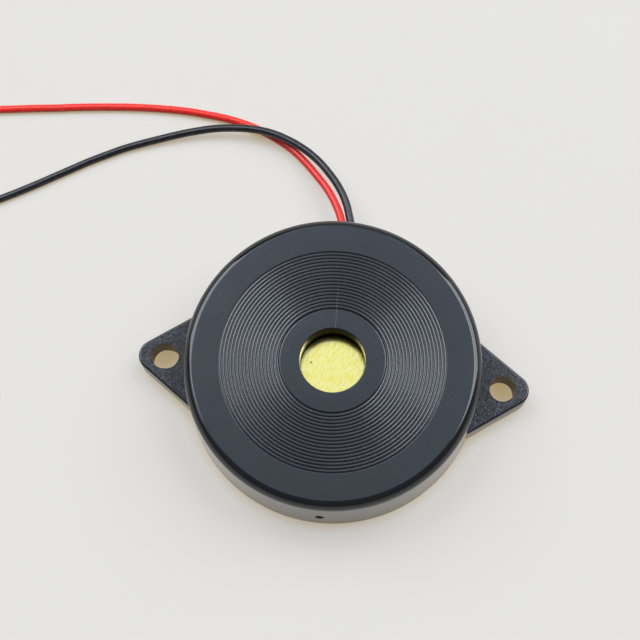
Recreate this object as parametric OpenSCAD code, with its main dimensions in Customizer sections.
// Piezo buzzer with a ribbed round case, two mounting ears and two flying leads.
// The origin is at the middle of the case's underside, +Z is up, the ears lie along X
// and the leads leave towards +Y.

/* [Case] */
// Diameter of the case at its base
case_d = 43.5; // [42.5:0.25:45]
// Height of the case
case_h = 11.5; // [11:0.25:16]
// How much narrower the side wall is at the top, per side, so that it leaves the mould
case_draft = 0.3; // [0:0.05:0.6]
// Thickness of the side wall at its base
wall_t = 1.75; // [1.5:0.05:2.25]
// Thickness of the front wall, between ridges and inside
front_t = 2; // [1.5:0.1:2.4]
// Radius of the rounded front rim
rim_r = 1.3; // [0.6:0.1:1.8]
// Diameter of the gate mark in the side wall
gate_d = 1.3; // [0.8:0.1:1.6]
// Depth of the gate mark
gate_depth = 0.45; // [0.2:0.05:0.8]
// Height of the gate mark above the base
gate_z = 5; // [4.6:0.1:6]
// How far the gate mark lies to the right of the middle
gate_x = 0.25; // [0:0.05:0.5]

/* [Sound hole] */
// Diameter of the sound hole
hole_d = 9.4; // [6:0.2:12]
// Length of the sound hole, with the collar behind the front wall
hole_l = 3.2; // [2.5:0.1:3.6]
// Wall of the collar behind the front wall
collar_t = 1.2; // [0.8:0.1:1.6]

/* [Ridges] */
// Number of concentric ridges on the front
ridge_count = 17; // [8:1:18]
// Distance from one ridge to the next
ridge_pitch = 0.5; // [0.4:0.01:0.54]
// Inner radius of the ridged field
ridge_in_r = 7.75; // [7.25:0.05:8]
// Radius of each ridge's rounded crest
ridge_crest_r = 0.42; // [0.35:0.01:0.6]
// How far the crests lie below the plain front face
ridge_drop = 0.1; // [0.05:0.05:0.3]

/* [Ears] */
// Distance between the two mounting holes
hole_pitch = 50; // [49.5:0.5:60]
// Diameter of the mounting holes
ear_hole_d = 3.8; // [3:0.1:4.2]
// Extra length of the slotted hole in the left ear
slot_extra = 0.35; // [0.1:0.05:0.8]
// Thickness of the ears
ear_t = 4.2; // [2.5:0.1:4.5]
// Distance from a mounting hole's centre to the tip of its ear
ear_reach = 3.9; // [3.2:0.1:5]
// Radius of the ear's rounded tip
ear_tip_r = 2.35; // [2.2:0.05:3]
// Angle between the ear's sides and the line through both holes
ear_angle = 35.5; // [30:0.5:40]

/* [Back cover] */
// Thickness of the back cover
cover_t = 1.3; // [1:0.1:1.4]
// How far the back cover lies inside the base
cover_recess = 0.3; // [0.1:0.1:0.4]
// Width of the shoulder that the back cover seats on
shoulder_w = 0.8; // [0.5:0.05:0.9]
// Clearance round the back cover
cover_gap = 0.05; // [0.02:0.01:0.15]
// Diameter of the pillars that hold the board up against its stops
pillar_d = 2; // [1.5:0.1:2.5]

/* [Disc] */
// Thickness of the brass disc
brass_t = 0.3; // [0.15:0.05:0.4]
// Gap between the brass disc's edge and the case's side wall
brass_gap = 2.5; // [1.8:0.1:4]
// Air gap between the sound hole's collar and the brass disc
air_gap = 0.5; // [0.3:0.05:0.8]
// Diameter of the ceramic disc
ceramic_d = 25; // [22:0.5:27]
// Thickness of the ceramic disc
ceramic_t = 0.25; // [0.15:0.05:0.3]
// Thickness of the printed silver electrodes
silver_t = 0.05; // [0.03:0.01:0.08]
// Bare margin round the silver
silver_margin = 1; // [0.5:0.1:1.5]
// Width of the feedback electrode
feedback_w = 4; // [3:0.5:6]
// Length of the feedback electrode
feedback_l = 7; // [5:0.5:9]
// Bare gap between the two electrodes
electrode_gap = 0.8; // [0.5:0.1:1.2]

/* [Disc seat] */
// Radius of the ring rib that carries the brass disc, at the middle of the rib
seat_r = 11.2; // [11:0.1:14]
// Thickness of the ring rib
seat_t = 0.8; // [0.6:0.1:1.2]
// Thickness of the silicone under the ring rib
bead_t = 0.15; // [0.1:0.05:0.25]
// Width of the silicone bead on each side of the rib
bead_side = 0.3; // [0.2:0.1:0.6]
// Height of the silicone bead
bead_h = 0.6; // [0.4:0.1:0.8]

/* [Driver board] */
// Thickness of the board
board_t = 1; // [0.8:0.1:1.2]
// Clearance between the leads and the board they lie over
board_lead_gap = 0.1; // [0.05:0.05:0.3]
// Room under the board for its solder joints
board_room = 0.8; // [0.7:0.1:1.2]
// Clearance round the board
board_gap = 0.4; // [0.2:0.1:0.8]
// Radial depth of the four stops on the inside of the wall
stop_depth = 1.2; // [1:0.1:1.5]
// Width of the four stops
stop_w = 3; // [2:0.5:4]
// Diameter of the inner wires
wire_d = 0.5; // [0.4:0.05:0.6]
// Bend radius of the inner wires
wire_bend = 1.2; // [0.8:0.1:1.3]
// Clearance round a wire in its board hole
wire_gap = 0.1; // [0.05:0.05:0.2]
// Diameter of a solder joint
joint_d = 2; // [1.6:0.1:2.4]
// Height of a solder joint
joint_h = 0.6; // [0.55:0.05:0.65]

/* [Leads] */
// Outer diameter of the leads
lead_d = 1.2; // [0.9:0.05:1.4]
// Diameter of the leads' bare core
core_d = 0.6; // [0.4:0.05:0.7]
// Distance between the two leads where they leave the case
lead_pitch = 1.4; // [1.4:0.05:1.8]
// Clearance round the leads in the wall's window
window_gap = 0.15; // [0.1:0.05:0.3]
// How far the sealing compound stands out of the wall
seal_out = 0.1; // [0.05:0.05:0.4]
// Radius at the middle of a coil's outer turn
coil_r = 7.2; // [6:0.1:8]
// Number of turns in each coil
coil_turns = 2; // [1:1:3]
// Diameter of the tinned end of a lead
tinned_d = 0.7; // [0.5:0.05:0.8]
// Length of the tinned end of a lead
tinned_l = 5; // [3:0.5:8]

/* [Hidden] */
$fn = 96;
// Overlap that lets a cut run clear of a face
over = 1;

// Case
base_r = case_d / 2;
top_r = base_r - case_draft;
inside_r = base_r - wall_t;
ceiling_z = case_h - front_t;
cover_z = cover_recess;
shoulder_z = cover_recess + cover_t;
shoulder_r = inside_r + shoulder_w;
rim_z = case_h - rim_r;
land_r = top_r - rim_r;

// Ridges: each is a rounded crest that meets its neighbours in sharp valleys
valley_slope = asin(ridge_pitch / 2 / ridge_crest_r);
crest_z = case_h - ridge_drop;
valley_z = crest_z - ridge_crest_r * (1 - cos(valley_slope));
ridge_out_r = ridge_in_r + ridge_count * ridge_pitch;
crest_steps = 6;

// Ears
ear_tip_x = hole_pitch / 2 + ear_reach - ear_tip_r;
slot_shift = slot_extra / 2;

// Disc, hung below the sound hole
hole_r = hole_d / 2;
collar_z = case_h - hole_l;
brass_top = collar_z - air_gap;
brass_z = brass_top - brass_t;
brass_r = inside_r - brass_gap;
ceramic_z = brass_z - ceramic_t;
silver_z = ceramic_z - silver_t;
silver_r = ceramic_d / 2 - silver_margin;
seat_z = brass_top + bead_t;

// Driver board, between the cover's pillars and the case's stops
board_z = shoulder_z + board_room;
board_top = board_z + board_t;
board_r = inside_r - board_gap;
stop_r = inside_r - stop_depth;
stop_angles = [40, 140, 220, 320];
pillar_in = 0.6;
pillar_r = stop_r + pillar_in - pillar_d / 2;

// Where the inner wires end on the disc, and the height of their ends in the board
wire_run = 1.4;
wire_lie = [0, wire_bend + wire_run];
wire_sunk = 0.3;
wire_foot = board_z - wire_sunk;
ground_end = (ceramic_d / 2 + brass_r) / 2 * [cos(-60), sin(-60)];
drive_end = [-4, -4.4];
feedback_end = [0, silver_r - feedback_l + 3];

// The transistor's place on the board, and its widest half
chip_at = [6, 7];
chip_side = 0.65;

// Leads
lead_r = lead_d / 2;
lead_z = board_top + board_lead_gap + lead_r;
red_x = -lead_pitch / 2;
black_x = lead_pitch / 2;
lead_in_y = inside_r - 3;
core_run = 1;
core_bend = 0.6;
core_y = lead_in_y - core_run - core_bend;
window_r = lead_r + window_gap;
seal_in_y = inside_r - 0.15;
seal_out_y = base_r - case_draft * lead_z / rim_z + seal_out;
coil_in_r = coil_r - coil_turns * lead_d;
tube_sides = 8;

// The leads' routes past the case, up to their coils: x, the distance from the side wall's
// foot, and the height of the lead's underside above the surface that it lies on
red_points = [[-0.8, 0.65, 3.45], [-1.3, 2.5, 3.1], [-2.4, 4.95, 2.6], [-3.9, 7.35, 2.05],
    [-5.8, 9.65, 1.5], [-7.8, 11.8, 1.05], [-10, 13.75, 0.65], [-12.5, 15.35, 0.35],
    [-15.2, 16.65, 0.15], [-18, 17.6, 0.05], [-21, 18.25, 0], [-24, 18.6, 0],
    [-27, 18.85, 0], [-30, 18.9, 0], [-33, 18.85, 0], [-36, 18.7, 0],
    [-39, 18.45, 0], [-42, 18.15, 0], [-45, 17.8, 0], [-48, 17.4, 0],
    [-51, 17.05, 0], [-54, 16.65, 0], [-57, 16.25, 0], [-60, 15.85, 0],
    [-63, 15.45, 0], [-66, 15.05, 0]];
black_points = [[0.6, 0.65, 3.5], [0.1, 2.45, 3.3], [-0.7, 4.95, 3.05], [-2.1, 7.55, 2.8],
    [-3.9, 9.85, 2.55], [-6, 11.95, 2.3], [-8.4, 13.65, 2.1], [-11, 14.95, 1.9],
    [-13.7, 15.85, 1.7], [-16.6, 16.25, 1.5], [-19.5, 16.25, 1.25], [-22.5, 15.95, 1],
    [-25.3, 15.35, 0.75], [-28.2, 14.55, 0.5], [-30.9, 13.65, 0.3], [-33.7, 12.65, 0.15],
    [-36.4, 11.55, 0.05], [-39, 10.25, 0], [-41.6, 8.85, 0], [-44.1, 7.35, 0],
    [-46.6, 5.85, 0], [-49.1, 4.35, 0], [-51.7, 2.85, 0], [-54.3, 1.45, 0],
    [-56.9, 0.15, 0], [-59.5, -1.05, 0], [-62.1, -2.1, 0], [-64.6, -2.95, 0]];

module at_each(angles, r) {
    for (a = angles) rotate([0, 0, a]) translate([r, 0, 0]) children();
}

module wall_ring(outer, inner, z, h) {
    translate([0, 0, z]) difference() {
        cylinder(r = outer, h = h);
        translate([0, 0, -over]) cylinder(r = inner, h = h + 2 * over);
    }
}

// ---- Case ----

// Outline of one ridge, from its inner valley to just before its outer valley
function ridge_outline(i) = let (mid = ridge_in_r + (i + 0.5) * ridge_pitch) concat(
    [[mid - ridge_pitch / 2, valley_z]],
    [for (k = [1 : crest_steps - 1]) let (a = valley_slope * (2 * k / crest_steps - 1))
        [mid + ridge_crest_r * sin(a), crest_z - ridge_crest_r * (1 - cos(a))]]);

// Outline of the front face, from the sound hole out to the rim
function front_outline() = concat(
    [[0, case_h], [ridge_in_r, case_h]],
    [for (i = [0 : ridge_count - 1]) each ridge_outline(i)],
    [[ridge_out_r, valley_z], [ridge_out_r, case_h], [land_r, case_h]]);

module case_body() {
    rotate_extrude() {
        polygon(concat([[0, 0]], front_outline(), [[land_r, rim_z], [top_r, rim_z], [base_r, 0]]));
        translate([land_r, rim_z]) intersection() {
            circle(r = rim_r);
            square(rim_r);
        }
    }
}

module ear_outline() {
    tip = [ear_tip_x, 0] + ear_tip_r * [sin(ear_angle), cos(ear_angle)];
    root_y = tip.y + (tip.x - inside_r + wall_t) * tan(ear_angle);
    root = [inside_r - wall_t, root_y];
    polygon([root, tip, [tip.x, -tip.y], [root.x, -root.y]]);
    translate([ear_tip_x, 0]) circle(r = ear_tip_r);
}

module ears() {
    for (side = [0, 1]) mirror([side, 0, 0]) linear_extrude(ear_t) ear_outline();
}

module ear_holes() {
    hole_x = hole_pitch / 2;
    translate([hole_x, 0, -over]) cylinder(d = ear_hole_d, h = ear_t + 2 * over);
    for (end = [-slot_shift, slot_shift])
        translate([end - hole_x, 0, -over]) cylinder(d = ear_hole_d, h = ear_t + 2 * over);
    translate([-hole_x - slot_shift, -ear_hole_d / 2, -over])
        cube([slot_extra, ear_hole_d, ear_t + 2 * over]);
}

// The inside: one bore up to the front wall, and a wider one for the cover
module case_inside() {
    translate([0, 0, -over]) cylinder(r = shoulder_r, h = shoulder_z + over);
    translate([0, 0, -over]) cylinder(r = inside_r, h = ceiling_z + over);
}

// The window in the side wall that both leads share, between two distances along Y
module lead_window(from_y, to_y) {
    run = to_y - from_y;
    for (x = [red_x, black_x])
        translate([x, to_y, lead_z]) rotate([90, 0, 0]) cylinder(r = window_r, h = run);
    translate([red_x, from_y, lead_z - window_r]) cube([lead_pitch, run, 2 * window_r]);
}

module gate_mark() {
    gate_r = base_r - case_draft * gate_z / rim_z;
    translate([gate_x, -gate_r + gate_depth, gate_z]) rotate([90, 0, 0])
        cylinder(d = gate_d, h = gate_depth + over);
}

// Four stops on the inside of the wall hold the board away from the disc
module board_stops() {
    intersection() {
        wall_ring(inside_r + wall_t / 2, stop_r, board_top, ceiling_z - board_top + front_t / 2);
        at_each(stop_angles, stop_r) translate([-over, -stop_w / 2, 0])
            cube([wall_t + stop_depth + over, stop_w, case_h]);
    }
}

module case() {
    color([0.2, 0.21, 0.24]) difference() {
        union() {
            difference() {
                union() {
                    case_body();
                    ears();
                }
                case_inside();
            }
            board_stops();
            wall_ring(seat_r + seat_t / 2, seat_r - seat_t / 2, seat_z, ceiling_z - seat_z + over);
            translate([0, 0, collar_z])
                cylinder(r = hole_r + collar_t, h = ceiling_z - collar_z + over);
        }
        translate([0, 0, collar_z - over]) cylinder(r = hole_r, h = hole_l + 2 * over);
        ear_holes();
        lead_window(inside_r - over, base_r + over);
        gate_mark();
    }
}

// ---- Back cover ----

module back_cover() {
    cover_r = shoulder_r - cover_gap;
    edge = 0.25;
    color([0.13, 0.13, 0.14]) {
        rotate_extrude() polygon([[0, cover_z], [cover_r - edge, cover_z], [cover_r, cover_z + edge],
            [cover_r, shoulder_z], [0, shoulder_z]]);
        at_each(stop_angles, pillar_r) translate([0, 0, shoulder_z - cover_t / 2])
            cylinder(d = pillar_d, h = board_room + cover_t / 2);
    }
}

// ---- Sounding disc ----

module brass_disc() {
    color([0.93, 0.85, 0.35]) translate([0, 0, brass_z]) cylinder(r = brass_r, h = brass_t);
}

module ceramic_disc() {
    color([0.85, 0.83, 0.76]) translate([0, 0, ceramic_z]) cylinder(d = ceramic_d, h = ceramic_t);
}

// The tongue that the feedback electrode fills, grown by a margin
module tongue_outline(grow) {
    mid_y = silver_r - feedback_l;
    translate([0, mid_y]) circle(d = feedback_w + 2 * grow);
    translate([-feedback_w / 2 - grow, mid_y]) square([feedback_w + 2 * grow, feedback_l + over]);
}

module main_electrode() {
    color([0.78, 0.78, 0.8]) translate([0, 0, silver_z]) linear_extrude(silver_t) difference() {
        circle(r = silver_r);
        tongue_outline(electrode_gap);
    }
}

module feedback_electrode() {
    color([0.78, 0.78, 0.8]) translate([0, 0, silver_z]) linear_extrude(silver_t) intersection() {
        circle(r = silver_r);
        tongue_outline(0);
    }
}

module seat_bead() {
    inner = seat_r - seat_t / 2;
    outer = seat_r + seat_t / 2;
    color([0.9, 0.9, 0.88]) difference() {
        wall_ring(outer + bead_side, inner - bead_side, brass_top, bead_h);
        wall_ring(outer, inner, seat_z, bead_h + over);
    }
}

// ---- Driver board ----

// Where each wire and each lead's core goes through the board
through_wires = [ground_end - wire_lie, drive_end - wire_lie, feedback_end - wire_lie];
through_cores = [[red_x, core_y], [black_x, core_y]];

module driver_board() {
    color([0.62, 0.45, 0.22]) difference() {
        translate([0, 0, board_z]) cylinder(r = board_r, h = board_t);
        for (at = through_wires) translate([at.x, at.y, board_z - over])
            cylinder(d = wire_d + 2 * wire_gap, h = board_t + 2 * over);
        for (at = through_cores) translate([at.x, at.y, board_z - over])
            cylinder(d = core_d + 2 * wire_gap, h = board_t + 2 * over);
    }
}

module transistor() {
    color([0.1, 0.1, 0.1]) translate([chip_at.x, chip_at.y, board_top + 0.1]) rotate([90, 0, 0])
        linear_extrude(2.9, center = true)
            polygon([[-0.55, 0], [0.55, 0], [chip_side, 0.5], [0.55, 1], [-0.55, 1], [-chip_side, 0.5]]);
}

// A leg bent down to the board, on one side of the transistor
module transistor_leg(side, y) {
    leg_w = 0.4;
    leg_t = 0.12;
    reach = 0.25;
    foot = 0.45;
    color([0.8, 0.8, 0.8]) translate([chip_at.x, chip_at.y + y - leg_w / 2, board_top])
        mirror([side, 0, 0]) translate([chip_side, 0, 0]) {
            translate([0, 0, 0.5]) cube([reach, leg_w, leg_t]);
            translate([reach - leg_t, 0, 0]) cube([leg_t, leg_w, 0.5 + leg_t]);
            translate([reach - leg_t, 0, 0]) cube([foot, leg_w, leg_t]);
        }
}

module emitter_leg() {
    transistor_leg(1, -0.95);
}

module base_leg() {
    transistor_leg(1, 0.95);
}

module collector_leg() {
    transistor_leg(0, 0);
}

module chip_resistor(at, turn) {
    chip = [2, 1.2, 0.5];
    cap_l = 0.35;
    translate([at.x, at.y, board_top]) rotate([0, 0, turn]) {
        translate([-chip.x / 2 + cap_l, -chip.y / 2, 0.05])
            cube([chip.x - 2 * cap_l, chip.y, chip.z - 0.05]);
        for (x = [-chip.x / 2, chip.x / 2 - cap_l])
            translate([x, -chip.y / 2 - 0.03, 0]) cube([cap_l, chip.y + 0.06, chip.z + 0.03]);
    }
}

module bias_resistor() {
    color([0.15, 0.15, 0.17]) chip_resistor([-6, 8], 90);
}

module base_resistor() {
    color([0.15, 0.15, 0.17]) chip_resistor([-9, 3], 0);
}

module drive_resistor() {
    color([0.15, 0.15, 0.17]) chip_resistor([7, -3], 0);
}

module guard_diode() {
    color([0.12, 0.12, 0.12]) translate([11, 4, board_top]) {
        translate([-0.8, -1.35, 0.1]) cube([1.6, 2.7, 1]);
        for (y = [-1.85, 1.05]) translate([-0.3, y, 0]) cube([0.6, 0.8, 0.15]);
    }
}

// A wire that stands in the board, bends over and ends against the face above it
module inner_wire(end, face_z) {
    top_z = face_z - wire_d / 2;
    foot_y = end.y - wire_lie.y;
    translate([end.x, foot_y, wire_foot]) cylinder(d = wire_d, h = top_z - wire_bend - wire_foot);
    translate([end.x, foot_y + wire_bend, top_z - wire_bend]) quarter_bend(wire_bend, wire_d);
    translate([end.x, end.y, top_z]) rotate([90, 0, 0]) cylinder(d = wire_d, h = wire_run);
}

// A quarter of a ring round the X axis, from its lowest -Y point up to its top
module quarter_bend(r, d) {
    rotate([0, -90, 0]) rotate([0, 0, -90]) rotate_extrude(angle = 90) translate([r, 0]) circle(d = d);
}

module ground_wire() {
    color([0.15, 0.15, 0.15]) inner_wire(ground_end, brass_z);
}

module drive_wire() {
    color([0.85, 0.15, 0.12]) inner_wire(drive_end, silver_z);
}

module feedback_wire() {
    color([0.15, 0.3, 0.75]) inner_wire(feedback_end, silver_z);
}

// A drop of solder that hangs below the face at z
module solder_drop(at, z) {
    drop_r = (joint_h * joint_h + joint_d * joint_d / 4) / (2 * joint_h);
    translate([at.x, at.y, z - joint_h]) rotate_extrude() intersection() {
        translate([0, drop_r]) circle(r = drop_r);
        square([joint_d, joint_h]);
    }
}

// The drop that holds a wire's end on the disc
module disc_joint(end, face_z) {
    color([0.75, 0.76, 0.78]) difference() {
        solder_drop(end, face_z);
        inner_wire(end, face_z);
    }
}

module ground_disc_joint() {
    disc_joint(ground_end, brass_z);
}

module drive_disc_joint() {
    disc_joint(drive_end, silver_z);
}

module feedback_disc_joint() {
    disc_joint(feedback_end, silver_z);
}

// The drop that holds a wire's foot under the board
module wire_board_joint(at) {
    color([0.75, 0.76, 0.78]) difference() {
        solder_drop(at, board_z);
        translate([at.x, at.y, wire_foot]) cylinder(d = wire_d, h = board_t);
    }
}

module ground_board_joint() {
    wire_board_joint(through_wires[0]);
}

module drive_board_joint() {
    wire_board_joint(through_wires[1]);
}

module feedback_board_joint() {
    wire_board_joint(through_wires[2]);
}

// The cone of solder that holds a lead's core under the board
module core_board_joint(at) {
    color([0.75, 0.76, 0.78]) translate([at.x, at.y, board_z - joint_h]) difference() {
        cylinder(d1 = core_d + 0.1, d2 = lead_pitch - 0.2, h = joint_h);
        translate([0, 0, joint_h - wire_sunk]) cylinder(d = core_d, h = joint_h);
    }
}

module red_board_joint() {
    core_board_joint(through_cores[0]);
}

module black_board_joint() {
    core_board_joint(through_cores[1]);
}

// ---- Leads ----

// The bare core inside the case: out of the lead, over a bend and down through the board
module lead_core(x) {
    translate([x, lead_in_y, lead_z]) rotate([90, 0, 0]) cylinder(d = core_d, h = core_run);
    translate([x, core_y + core_bend, lead_z - core_bend]) quarter_bend(core_bend, core_d);
    translate([x, core_y, wire_foot]) cylinder(d = core_d, h = lead_z - core_bend - wire_foot);
}

module red_core() {
    color([0.8, 0.8, 0.82]) lead_core(red_x);
}

module black_core() {
    color([0.8, 0.8, 0.82]) lead_core(black_x);
}

// Sealing compound that fills the window round both leads
module lead_seal() {
    color([0.1, 0.1, 0.11]) difference() {
        lead_window(seal_in_y, seal_out_y);
        for (x = [red_x, black_x]) translate([x, seal_out_y + over, lead_z]) rotate([90, 0, 0])
            cylinder(d = lead_d, h = seal_out_y - seal_in_y + 2 * over);
    }
}

// A listed point of a route, as a point of the lead's centre line
function placed(p) = p + [0, base_r, lead_r];

// A lead's whole centre line, from its cut end in the case to its coil
function route(x, listed) = concat(
    [[x, lead_in_y, lead_z], [x, seal_in_y, lead_z], [x, seal_out_y, lead_z]],
    [for (p = listed) placed(p)]);

function heading(p, i) =
    let (v = p[min(i + 1, len(p) - 1)] - p[max(i - 1, 0)])
    v / norm(v);

// Corners of the lead's section at point i of its centre line, which never runs straight up
function section(p, i) = let (
    ahead = heading(p, i),
    flat = cross(ahead, [0, 0, 1]),
    aside = flat / norm(flat),
    above = cross(aside, ahead)
) [for (k = [0 : tube_sides - 1]) let (a = 360 * k / tube_sides)
    p[i] + lead_r * (cos(a) * aside + sin(a) * above)];

module tube(line) {
    rings = len(line);
    corners = [for (i = [0 : rings - 1]) each section(line, i)];
    sides = [for (i = [0 : rings - 2], k = [0 : tube_sides - 1]) let (
        a = i * tube_sides + k,
        b = i * tube_sides + (k + 1) % tube_sides
    ) [a, a + tube_sides, b + tube_sides, b]];
    first = [for (k = [0 : tube_sides - 1]) k];
    last = [for (k = [tube_sides - 1 : -1 : 0]) (rings - 1) * tube_sides + k];
    polyhedron(corners, concat(sides, [first, last]));
}

module red_lead() {
    color([0.86, 0.13, 0.12]) tube(route(red_x, red_points));
}

module black_lead() {
    color([0.14, 0.14, 0.15]) tube(route(black_x, black_points));
}

// The direction from the end of a route to its coil's centre, to the left of the way it runs
function to_centre(listed) =
    let (n = len(listed), v = listed[n - 1] - listed[n - 2])
    [-v.y, v.x, 0] / norm([v.x, v.y]);

function coil_centre(listed) = placed(listed[len(listed) - 1]) + coil_r * to_centre(listed);

// The outer shape of a flat coil, which its lead runs into along the outer turn
module coil(listed) {
    translate(coil_centre(listed)) rotate_extrude() {
        translate([coil_r, 0]) circle(r = lead_r);
        translate([coil_in_r, 0]) circle(r = lead_r);
        translate([coil_in_r, -lead_r]) square([coil_r - coil_in_r, lead_d]);
    }
}

module red_coil() {
    color([0.86, 0.13, 0.12]) coil(red_points);
}

module black_coil() {
    color([0.14, 0.14, 0.15]) coil(black_points);
}

// The tinned end, which curls along the inside of the coil
module tinned_end(listed) {
    curl_r = coil_in_r - lead_r - tinned_d / 2;
    curl = 360 * tinned_l / (2 * PI * curl_r);
    inward = to_centre(listed);
    color([0.8, 0.8, 0.82]) translate(coil_centre(listed))
        rotate([0, 0, atan2(-inward.y, -inward.x)]) rotate_extrude(angle = curl)
            translate([curl_r, 0]) circle(d = tinned_d);
}

module red_tinned_end() {
    tinned_end(red_points);
}

module black_tinned_end() {
    tinned_end(black_points);
}

case();
back_cover();
brass_disc();
ceramic_disc();
main_electrode();
feedback_electrode();
seat_bead();
driver_board();
transistor();
emitter_leg();
base_leg();
collector_leg();
bias_resistor();
base_resistor();
drive_resistor();
guard_diode();
ground_wire();
drive_wire();
feedback_wire();
ground_disc_joint();
drive_disc_joint();
feedback_disc_joint();
ground_board_joint();
drive_board_joint();
feedback_board_joint();
red_board_joint();
black_board_joint();
red_core();
black_core();
lead_seal();
red_lead();
black_lead();
red_coil();
black_coil();
red_tinned_end();
black_tinned_end();
